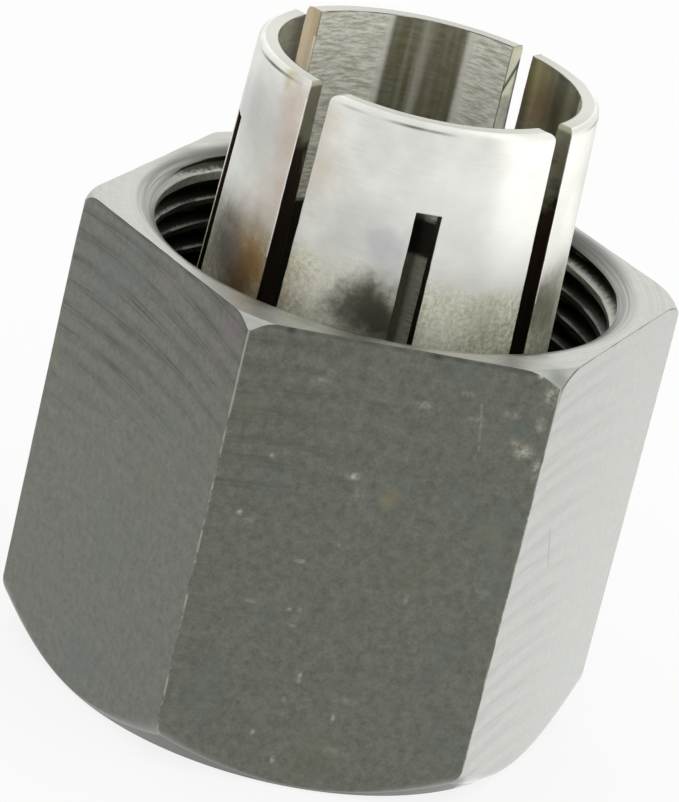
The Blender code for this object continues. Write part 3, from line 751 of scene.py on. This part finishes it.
collet = {
    "boreRadius": 6.4,
    "tipRadius": 7.19,
    "taper": 2.0,
    "tipHeight": 28.113,
    "noseHeight": 2.013,
    "noseRadius": 6.9,
    "flangeRadius": 8.6,
    "flangeBottom": 4.957,
    "flangeTop": 5.358,
    "neckRadius": 7.4,
    "shoulderHeight": 7.758,
    "rimRound": 0.25,
    "slotWidth": 1.05,
    "slotStart": 46.3,         # angle of the first slot from the tip; one from the nose is 45 degrees on
    "tipSlotEnd": 9.213,
    "noseSlotEnd": 24.413,
    "noseSlotOffsets": (-1.0, 0.4, 0.0, -0.2),     # how much higher each ends: back, left, front, right
    # how round the fingers' top corners are, before and after each slot from the tip: back right, back left,
    # front left, front right
    "slotCornerRounds": [(0.0, 0.0), (0.0, 0.0), (0.18, 0.36), (0.36, 0.2)],
    "edgeSoftening": 0.045,
    "sharperThan": 40,         # only edges sharper than this are softened
    "burr": 0.010,             # the saw's burrs: half their height, and their length
    "burrLength": 0.5,
    # colours and finish
    "ground": "#f0f0ea",
    "groundDull": "#dcdcd6",
    "bore": "#fffef4",
    "boreDull": "#c2c0ae",
    "boreOilAndShade": "#8a8975",
    "boreBrown": "#77704f",
    "boreReflection": "#fbfaf0",
    "boreShade": "#26251d",
    "rimGrime": "#4b4a38",
    "slotWall": "#b9b7a3",
    "slotDull": "#85836f",
    "slotShade": "#4c3f35",
    # the collet's stain colour is partly painted light, in place of light reflected from the nut's mouth
    "oilStain": "#fbf8de",
    "oilSpeck": "#a29f7c",
    "roughness": 0.44,
    "boreRoughness": 0.23,
    "stainHeights": (20.4, 18.9),          # oil stains the outside below the first and fully below the second
    "rimLine": (7.2, 27.9),    # radius and height of the turned line under the rim
    "boreShadeHeights": (17.9, 18.2, 19.6, 20.0),      # a ring of painted shade in the bore: begins, full, full, ends
    "boreShadeFilled": (96, 106),  # beyond these angles it fills all that is below
    "slotShadeEdge": (7.0, 29.6, 28.2),    # how ragged the slots' painted shade is, and where it begins and is full
    # oil in the bore, the run at 84 degrees also a painted dark reflection: middle and half width of each
    # run, and its strength
    "oilAndReflectionRuns": [(84.1, 15.6, 0.85), (22.0, 22.0, 0.82), (166.0, 26.0, 0.7)],
    # painted reflections, bright lines in the bore: middle, half width and strength
    "boreReflectionLines": [(99.7, 2.6, 0.55), (68.1, 2.2, 0.5), (85.5, 3.0, 0.25), (91.0, 1.5, 0.12)],
    "rim": "#bfbeb5",
    "brushed": 0.8,            # how far the finish draws highlights out along the axis
    # heat tints and stains, and a few spots of painted light and shade: angle, height, reach, colour,
    # strength
    "tints": [
        (-60.0, 23.6, 4.2, "#dededa", 0.65),
        (-84.0, 24.4, 3.2, "#fbfbf7", 0.5),
        # painted light on the left of the front finger near the nut, which faces away from the light
        (-117.0, 20.2, 2.6, "#fffdf0", 0.55),
        # painted light right of the front slot near the nut, where the nut's mouth shades it
        (-76.0, 19.6, 2.0, "#fffdf0", 0.45),
        (-142.6, 27.2, 1.6, "#b79f8c", 0.55),
        (-140.5, 25.6, 1.9, "#b99a88", 0.6),
        (-138.5, 23.4, 2.2, "#b59884", 0.5),
        (-164.0, 25.4, 3.6, "#a9aba6", 0.65),
        (-147.8, 27.9, 0.6, "#b5b46c", 0.5),
        (-144.8, 19.9, 3.5, "#8d672a", 0.95),
        (-150.0, 18.7, 2.0, "#58441d", 0.85),
        (-155.5, 20.0, 1.3, "#8a7a80", 0.6),
        (-163.0, 20.0, 2.6, "#58564a", 0.85),
        (-129.5, 27.0, 1.3, "#c6b59d", 0.5),
        (-127.5, 25.0, 1.8, "#c4b7a0", 0.5),
        (-100.0, 22.7, 1.4, "#b3b7c0", 0.5),
        (-106.5, 19.7, 1.7, "#57554a", 0.75),
        (-103.0, 20.3, 1.5, "#57543f", 0.85),
        (-99.0, 19.9, 2.1, "#48463a", 0.95),
        (-94.5, 19.4, 1.9, "#3d3a2b", 0.95),
        (-62.0, 20.3, 1.6, "#b3b199", 0.5),
        (-37.0, 20.5, 1.9, "#625f4e", 0.9),
        (-28.0, 20.0, 2.4, "#73725e", 0.85),
        # painted shade on the right finger, toning down its highlight
        (-25.0, 25.0, 5.0, "#cfcdc2", 0.5),
    ],
    # painted glints beside two slots, as lines from and to a radius, angle and height, with half width and
    # colour
    "edgeGlints": [((7.21, 222.1, 27.4), (7.48, 222.2, 20.6), 0.1, "#ffffff"),
                  ((7.21, 320.5, 27.0), (7.48, 320.4, 20.6), 0.1, "#ffffff")],
    # tan scale and a smudge on the slot walls: angle, height, reach, colour, strength
    "tanSlots": [(136.3, 27.0, 5.0, "#c6b79c", 1.0)],
    "wallSmudges": [(51.275, 23.4, (1.2, 1.2, 3.6), "#85857a", 1.0)],
    # dark lines on the slot walls and a painted glint along one bore edge, in the same way
    "wallLinesAndGlint": [((7.2, 50.5, 27.35), (6.42, 51.0, 26.15), 0.19, "#24231c"),
                  ((7.2, 50.5, 27.3), (7.35, 50.5, 23.0), 0.27, "#24231c"),
                  ((6.46, 131.6, 26.9), (6.46, 131.6, 25.4), 0.16, "#fffbea")],
    # heat tints in the bore: angle, height, reach, colour, strength
    "boreTints": [(37.5, 27.4, 1.5, "#a0986b", 0.75), (33.0, 26.2, 1.7, "#927852", 0.6),
                  (24.0, 26.6, 1.4, "#655a34", 0.5), (13.0, 25.6, 1.5, "#66684f", 0.4)],
    "rimDirt": [(-158, 2.4, 0.9), (-121, 1.0, 0.3), (-100, 1.6, 0.8), (-93, 1.2, 0.6), (-18, 2.0, 0.6),
                (60, 3.0, 0.6), (150, 2.4, 0.6)],
}


def groundSteelMaterial():
    # hardened spring steel, cylindrically ground: fine marks round it draw highlights out along the axis,
    # with straw, pink and brown heat tints, oil stains low down that are partly painted light, painted glints
    # along two slot edges, and a few spots of painted light and shade
    material, add = newMaterial("spring_steel_ground")
    point, _, _, height = polarPlace(add)
    rings = stretchedNoise(add, point, (0.8, 0.8, 9.0), 3.0)
    mottle = add("TexNoise", point, 4.5, 4.0, 0.65)
    cloud = add("TexNoise", point, 0.45, 3.0)
    tone = add("Math MULTIPLY_ADD", rings, 0.2, cloud)
    tone = add("MapRange", tone, 0.44, 0.76)
    # the stain's edge wanders by up to 3 mm, and it is speckled; its pale colour is partly painted light, in
    # place of light reflected from the nut's mouth
    begins, full = collet["stainHeights"]
    low = add("Math MULTIPLY_ADD", cloud, -3.0, height)
    low = add("MapRange", low, begins, full, 0.0, 0.85, interpolation_type="SMOOTHSTEP")
    specks = add("MapRange", add("TexNoise", point, 4.5, 5.0, 0.8), 0.36, 0.6)
    stain = layColours(add, collet["oilSpeck"], (specks, collet["oilStain"]))
    # the tints' places wander by up to 0.75 mm with a noise
    wander = add("TexNoise", point, 1.4, 4.0, 0.6)
    wander = add("VectorMath SUBTRACT", wander.outputs["Color"], (0.5, 0.5, 0.5))
    wander = add("VectorMath MULTIPLY_ADD", wander, (1.5, 1.5, 1.5), point)
    # dirt in the turned line under the rim
    line = add("Math SUBTRACT", height, collet["tipHeight"] - collet["rimRound"])
    line = add("Math ABSOLUTE", line)
    lineRadius, lineHeight = collet["rimLine"]
    places = [(polar(lineRadius, math.radians(turn), lineHeight), reach, strength)
              for turn, reach, strength in collet["rimDirt"]]
    dirt = add("Math MULTIPLY", add("MapRange", line, 0.09, 0.02), softSpots(add, point, places))
    edges = lineLayers(add, point, collet["edgeGlints"])
    colour = layColours(add, collet["groundDull"], (tone, collet["ground"]), (low, stain),
                        *tintLayers(add, wander, 7.4, collet["tints"]), (dirt, collet["rimGrime"]), *edges)
    # stained steel mirrors less, and so do the painted glints
    metal = add("MapRange", low, 0.0, 0.6, 1.0, 0.22)
    metal = joinMasks(add, "MULTIPLY", metal,
                      *(add("MapRange", mask, 0.0, 1.0, 1.0, 0.2) for mask, tint in edges))
    relief = add("Math MULTIPLY_ADD", mottle, 0.5, rings)
    closeMaterial(add, relief, 0.2, 0.00001,
                  {"Base Color": colour, "Metallic": metal,
                   "Roughness": add("MapRange", mottle, 0.0, 1.0, collet["roughness"] - 0.04,
                                    collet["roughness"] + 0.04), "Anisotropic": collet["brushed"],
                   "Tangent": add("Tangent", direction_type="UV_MAP", uv_map="run")})
    return material


def angleAway(add, angle, middle):
    # how far the angle is from middle, in radians, whichever way round is shorter
    away = add("Math SUBTRACT", angle, math.radians(middle))
    away = add("Math WRAP", away, math.pi, -math.pi)
    return add("Math ABSOLUTE", away)


def boredSteelMaterial():
    # the collet's bore and rim, turned: fine rings that draw highlights out along the axis, with oil runs,
    # painted reflections and painted shade
    material, add = newMaterial("spring_steel_bored")
    point, _, angle, height = polarPlace(add)
    rings = stretchedNoise(add, point, (1.5, 1.5, 8.0), 4.0, 0.7)
    tone = add("MapRange", rings, 0.38, 0.6)
    # oil has run down in places, one run also painted dark as a reflection; the bright lines beside it are
    # painted reflections
    runs = [add("MapRange", angleAway(add, angle, middle), math.radians(half + 2), math.radians(half - 2),
                0.0, strength) for middle, half, strength in collet["oilAndReflectionRuns"]]
    oilAndReflection = joinMasks(add, "MAXIMUM", *runs)
    streaks = add("MapRange", stretchedNoise(add, point, (3.4, 3.4, 0.25), 2.0), 0.4, 0.6)
    oil = layColours(add, collet["boreOilAndShade"], (streaks, collet["boreBrown"]))
    lines = [add("MapRange", angleAway(add, angle, middle), math.radians(half), 0.0, 0.0, strength,
                 interpolation_type="SMOOTHSTEP") for middle, half, strength in collet["boreReflectionLines"]]
    # painted shade: a dark ring in the bore, the bore below its top darkened too, and on the left it fills
    # all that is below
    uneven = add("Math MULTIPLY_ADD", rings, 0.6, height)
    footBegins, footFull, full, ends = collet["boreShadeHeights"]
    below = add("MapRange", uneven, ends, full)
    foot = add("MapRange", uneven, footBegins, footFull)
    begins, full = np.radians(collet["boreShadeFilled"])
    beyond = add("MapRange", angle, begins, full)
    paintedShade = add("Math MULTIPLY", below, add("Math MAXIMUM", foot, beyond))
    onRim = add("Math GREATER_THAN", height, collet["tipHeight"] - 0.05)
    colour = layColours(add, collet["boreDull"], (tone, collet["bore"]), (oilAndReflection, oil),
                        *tintLayers(add, point, 6.4, collet["boreTints"]),
                        *((line, collet["boreReflection"]) for line in lines),
                        (add("Math MULTIPLY", below, 0.45), collet["boreOilAndShade"]), (paintedShade, collet["boreShade"]),
                        (onRim, collet["rim"]))
    # oiled steel mirrors, and so does the rim; the dry bore is matt
    oilAndReflection = joinMasks(add, "MULTIPLY", oilAndReflection, *(add("MapRange", line, 0.0, 1.0, 1.0, 0.2) for line in lines))
    metal = add("MapRange", oilAndReflection, 0.0, 1.0, 0.05)
    closeMaterial(add, rings, 0.12, 0.00001,
                  {"Base Color": colour, "Metallic": add("Math MAXIMUM", metal, onRim),
                   "Roughness": collet["boreRoughness"], "Anisotropic": 1.0,
                   "Tangent": add("Tangent", direction_type="UV_MAP", uv_map="run")})
    return material


def sawnSteelMaterial():
    # slot walls, sawn and left from the heat treatment: grey scale, tan in one slot, lines along the slot,
    # painted shade deep in the slots and one painted glint
    material, add = newMaterial("spring_steel_sawn")
    point, _, _, height = polarPlace(add)
    scale = add("TexNoise", point, 0.9, 4.0)
    # painted shade fills the slots up to about 25 mm, with a ragged edge: height + raggedness x noise
    raggedness, begins, full = collet["slotShadeEdge"]
    ragged = add("Math MULTIPLY_ADD", scale, raggedness, height)
    paintedShade = add("MapRange", ragged, begins, full)
    colour = layColours(add, collet["slotDull"], (scale, collet["slotWall"]),
                        *tintLayers(add, point, 6.8, collet["tanSlots"]), (paintedShade, collet["slotShade"]),
                        *tintLayers(add, point, 6.8, collet["wallSmudges"]),
                        *lineLayers(add, point, collet["wallLinesAndGlint"]))
    closeMaterial(add, stretchedNoise(add, point, (6.0, 6.0, 0.5), 3.0), 0.5, 0.00004,
                  {"Base Color": colour, "Metallic": 1.0, "Roughness": 0.42})
    return material


def colletSection():
    # outer (radius, height) from the nose up to the tip, and the bore's heights level with them
    slope = math.tan(math.radians(collet["taper"]))
    steps = [(np.linspace(collet["noseRadius"], collet["flangeRadius"], 6),
              np.linspace(collet["noseHeight"], collet["flangeBottom"], 6)),
             ([collet["flangeRadius"], collet["neckRadius"]], [collet["flangeTop"]] * 2),
             ([collet["neckRadius"]] * 3, np.linspace(collet["flangeTop"], collet["shoulderHeight"], 4)[1:])]
    roundsBegin = collet["tipHeight"] - np.max(collet["slotCornerRounds"])
    heights = np.unique(np.concatenate([np.linspace(collet["shoulderHeight"], collet["tipSlotEnd"], 5),
                                        np.linspace(collet["tipSlotEnd"], collet["noseSlotEnd"], 56),
                                        np.linspace(collet["noseSlotEnd"], roundsBegin, 12)]))
    steps.append((collet["tipRadius"] + (collet["tipHeight"] - heights) * slope, heights))
    turn = np.radians(np.linspace(0, 90, 6))
    steps.append((collet["tipRadius"] - collet["rimRound"] * (1 - np.cos(turn)),
                  collet["tipHeight"] - collet["rimRound"] * (1 - np.sin(turn))))
    radius = np.concatenate([np.asarray(r, float) for r, h in steps])
    height = np.concatenate([np.asarray(h, float) for r, h in steps])
    level = height + 0.05 * np.concatenate([[0], np.diff(height) < 1e-6])
    return radius, height, level


def slotHalfAngles(radius, height, seed):
    # half the slot's angle before and after each slot's middle: asin(half width / radius). The width is
    # constant, but for small saw burrs, and at the tip opens in a quarter round of radius q,
    # q - sqrt(q^2 - rise^2)
    height = height[:, None]
    sides = []
    for side in (0, 1):
        q = np.zeros(8)
        q[::2] = np.array(collet["slotCornerRounds"])[:, side]
        rise = np.clip(height - (collet["tipHeight"] - q), 0, q)
        burr = collet["burr"] * smoothNoise(seed + side, height / collet["burrLength"] + 31 * np.arange(8))
        half = collet["slotWidth"] / 2 + q - np.sqrt(q * q - rise * rise) + burr
        sides.append(np.arcsin(half / radius[:, None]))
    return sides


def makeCollet():
    # two layers, outside and bore, on one grid of height and angle. Cells in a slot are left out, and each
    # edge between a kept and a left-out cell gets a wall from the outer layer to the bore.
    outRadius, outHeight, level = colletSection()
    rows = len(outRadius)
    slotCells, landCells = 3, 18
    perSlot = slotCells + landCells
    columns = 8 * perSlot
    centre = np.radians(collet["slotStart"] + 45 * np.arange(8))
    inSlot = np.linspace(-1, 1, slotCells + 1)[:-1]
    onLand = np.arange(landCells) / landCells

    def layer(radius, height, seed):
        before, after = slotHalfAngles(radius, height, seed)
        cut = centre + np.where(inSlot[:, None, None] < 0, before, after) * inSlot[:, None, None]
        nextBefore = np.roll(before, -1, axis=1)
        land = centre + after + onLand[:, None, None] * (math.radians(45) - after - nextBefore)
        angle = np.concatenate([cut, land]).transpose(1, 2, 0).reshape(rows, columns)
        return polar(radius[:, None], angle, height[:, None])

    outer = layer(outRadius, outHeight, 21)
    inner = layer(np.full(rows, collet["boreRadius"]), level, 21)
    points = np.concatenate([outer, inner])
    # the UV map: U runs up the outside, over the rim and down the bore, V round the axis
    rim = collet["tipHeight"]
    upOutside = np.broadcast_to(outHeight[:, None], (rows, columns)) / rim
    rimWidth = collet["tipRadius"] - collet["boreRadius"]
    downBore = np.broadcast_to(2 * rim + rimWidth - level[:, None], (rows, columns)) / rim
    roundAxis = np.broadcast_to(np.arange(columns) / columns, (rows, columns))
    runs = np.concatenate([np.stack([upOutside, roundAxis], axis=-1),
                           np.stack([downBore, roundAxis], axis=-1)])

    cell = np.arange(columns)
    isSlot = cell % perSlot < slotCells
    fromTip = isSlot & ((cell // perSlot) % 2 == 0)
    fromNose = isSlot & ~fromTip
    middle = (outHeight[:-1] + outHeight[1:]) / 2
    noseEnd = collet["noseSlotEnd"] + np.array(collet["noseSlotOffsets"])[cell // perSlot // 2]
    kept = ~((fromTip & (middle[:, None] > collet["tipSlotEnd"])) | (fromNose & (middle[:, None] < noseEnd)))

    def at(layerNumber, row, column):
        return layerNumber * rows * columns + row * columns + column % columns

    ground, bored, sawn = 0, 1, 2
    quads, finishes = [], []

    def addQuads(corners, finish):
        quads.append(np.stack(corners, axis=-1))
        finishes.append(np.full(len(corners[0]), finish))

    i, j = np.nonzero(kept)
    addQuads([at(0, i, j), at(0, i, j + 1), at(0, i + 1, j + 1), at(0, i + 1, j)], ground)
    addQuads([at(1, i, j), at(1, i + 1, j), at(1, i + 1, j + 1), at(1, i, j + 1)], bored)
    j = np.nonzero(kept[-1])[0]
    top = np.full_like(j, rows - 1)
    addQuads([at(0, top, j), at(0, top, j + 1), at(1, top, j + 1), at(1, top, j)], bored)
    j = np.nonzero(kept[0])[0]
    zero = np.zeros_like(j)
    addQuads([at(0, zero, j), at(1, zero, j), at(1, zero, j + 1), at(0, zero, j + 1)], ground)
    keptBefore = np.roll(kept, 1, axis=1)
    i, j = np.nonzero(keptBefore & ~kept)
    addQuads([at(0, i, j), at(1, i, j), at(1, i + 1, j), at(0, i + 1, j)], sawn)
    i, j = np.nonzero(~keptBefore & kept)
    addQuads([at(0, i, j), at(0, i + 1, j), at(1, i + 1, j), at(1, i, j)], sawn)
    i, j = np.nonzero(kept[:-1] & ~kept[1:])
    i = i + 1
    addQuads([at(0, i, j), at(0, i, j + 1), at(1, i, j + 1), at(1, i, j)], sawn)
    i, j = np.nonzero(~kept[:-1] & kept[1:])
    i = i + 1
    addQuads([at(0, i, j), at(1, i, j), at(1, i, j + 1), at(0, i, j + 1)], sawn)

    piece = putMesh("collet_steel", points, np.concatenate(quads), np.concatenate(finishes),
                    [groundSteelMaterial(), boredSteelMaterial(), sawnSteelMaterial()], runs)
    soften = piece.modifiers.new("Soft edges", "BEVEL")
    soften.width = collet["edgeSoftening"] / metre
    soften.segments = 2
    soften.limit_method = "ANGLE"
    soften.angle_limit = math.radians(collet["sharperThan"])
    soften.use_clamp_overlap = False
    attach(piece, "collet")
    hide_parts("collet")


makeCollet()
print("collet made")


ring = {
    "radius": 8.7,
    "wire": 0.5,
    "height": 6.958,
    "opening": 34.0,
    "openingAngle": 90.0,      # the opening's middle is at the back
    "endRound": 0.12,
    "wireDark": "#7d7a72",
    "wireLight": "#a5a298",
}


def springWireMaterial():
    # patented spring wire, drawn: grey-brown, with lines along the wire
    material, add = newMaterial("spring_wire_drawn")
    _, radius, angle, height = polarPlace(add)
    place = add("CombineXYZ", angle, radius, height)
    lines = stretchedNoise(add, place, (1.5, 9.0, 9.0), 3.0)
    closeMaterial(add, lines, 0.4, 0.00002,
                  {"Base Color": layColours(add, ring["wireDark"], (lines, ring["wireLight"])),
                   "Metallic": 1.0, "Roughness": 0.34})
    return material


def makeRing():
    # a circle of wire radius w carried round an arc. Near each end w = wire - q + sqrt(q^2 - (q - away)^2), a
    # quarter round of radius q, and a disc closes it.
    count, around = 160, 28
    start = math.radians(ring["openingAngle"] + ring["opening"] / 2)
    sweep = math.tau - math.radians(ring["opening"])
    q = ring["endRound"]
    nearEnd = q / ring["radius"] * (1 - np.cos(np.radians(np.linspace(0, 90, 6))[:-1]))
    place = np.concatenate([nearEnd, np.linspace(q / ring["radius"], sweep - q / ring["radius"], count),
                            sweep - nearEnd[::-1]])
    away = np.clip(np.minimum(place, sweep - place) * ring["radius"], 0, q)
    wire = ring["wire"] - q + np.sqrt(q * q - (q - away) ** 2)
    turn = np.arange(around) * math.tau / around
    radius = ring["radius"] + wire[:, None] * np.cos(turn)
    height = ring["height"] + wire[:, None] * np.sin(turn)
    points = polar(radius, start + place[:, None], height)
    rows = len(place)
    i, j = np.meshgrid(np.arange(rows - 1), np.arange(around), indexing="ij")
    k = (j + 1) % around
    quads = np.stack([i * around + j, (i + 1) * around + j, (i + 1) * around + k, i * around + k],
                     axis=-1).reshape(-1, 4)
    # each end disc is a strip of quads across it
    half = around // 2
    a = np.arange(half - 1)
    disc = np.stack([a, a + 1, around - 2 - a, around - 1 - a], axis=-1)
    last = (rows - 1) * around
    quads = np.concatenate([quads, disc, disc[:, ::-1] + last])
    piece = putMesh("ring_wire", points, quads, np.zeros(len(quads)), [springWireMaterial()])
    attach(piece, "ring")
    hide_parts("retaining_ring")


makeRing()
print("ring made")
